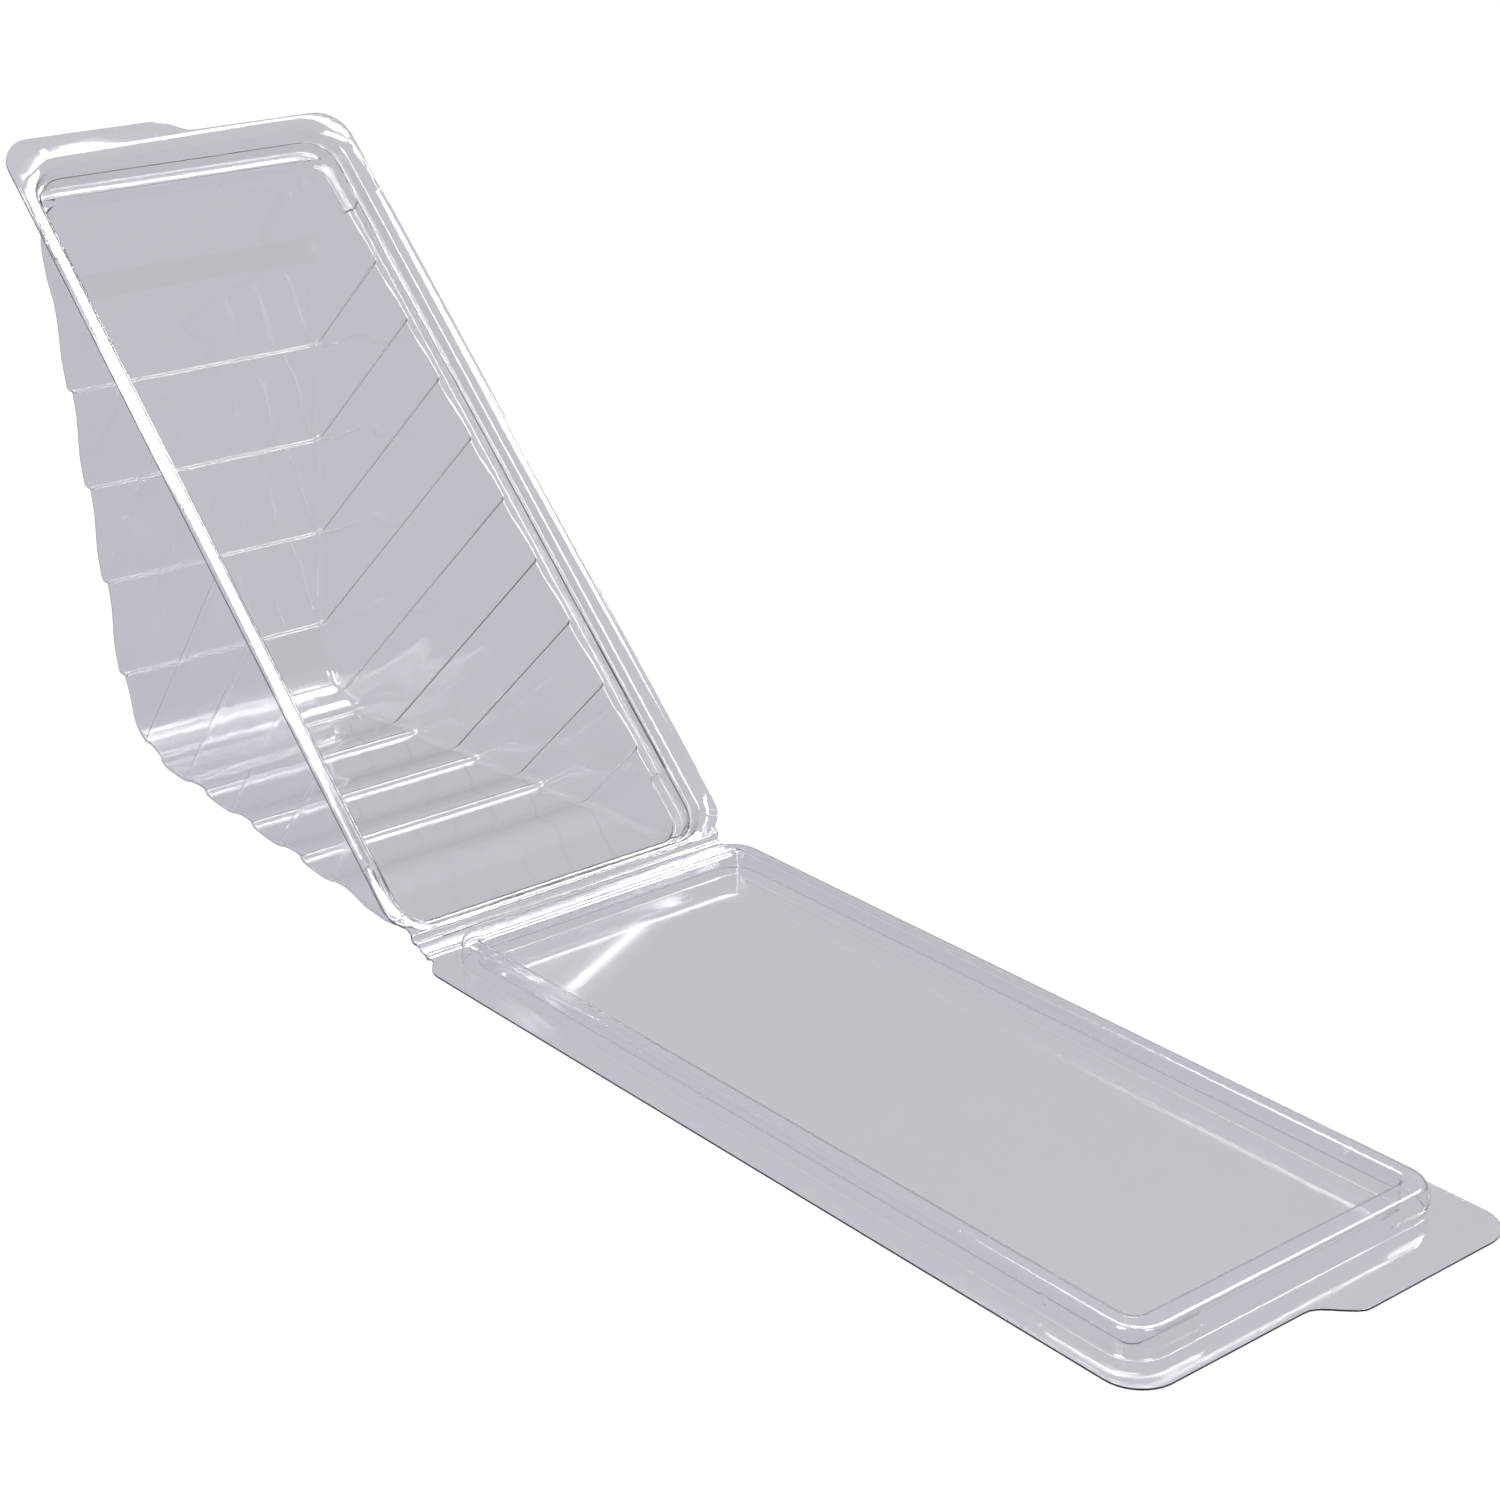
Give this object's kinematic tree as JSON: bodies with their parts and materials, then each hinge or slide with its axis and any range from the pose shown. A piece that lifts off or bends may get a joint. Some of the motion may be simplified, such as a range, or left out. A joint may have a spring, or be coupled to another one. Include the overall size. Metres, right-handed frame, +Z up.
{
  "type": "plastic clamshell pack",
  "caption": "Clear hinged plastic wedge pack for a cut sandwich, open, with a ribbed deep tray and a flat lid that plugs into the tray's mouth.",
  "frame": {"origin": "on the face the tray stands on, in the middle of the pack's width", "axes": "+X along the hinge, -Y from the tray towards the open lid, +Z up"},
  "size_m": [0.08, 0.3296, 0.134],
  "materials": {
    "clear_sheet": "clear glossy thermoformed sheet"
  },
  "bodies": {
    "tray": {"tray": "clear_sheet"},
    "lid": {"lid": "clear_sheet"}
  },
  "joints": [
    {"name": "lid_hinge", "type": "hinge", "parent": "tray", "child": "lid", "pos_m": [0, -0.06791, 0.002], "axis": [-1, 0, 0], "range_deg": [0, 136.43]}
  ]
}
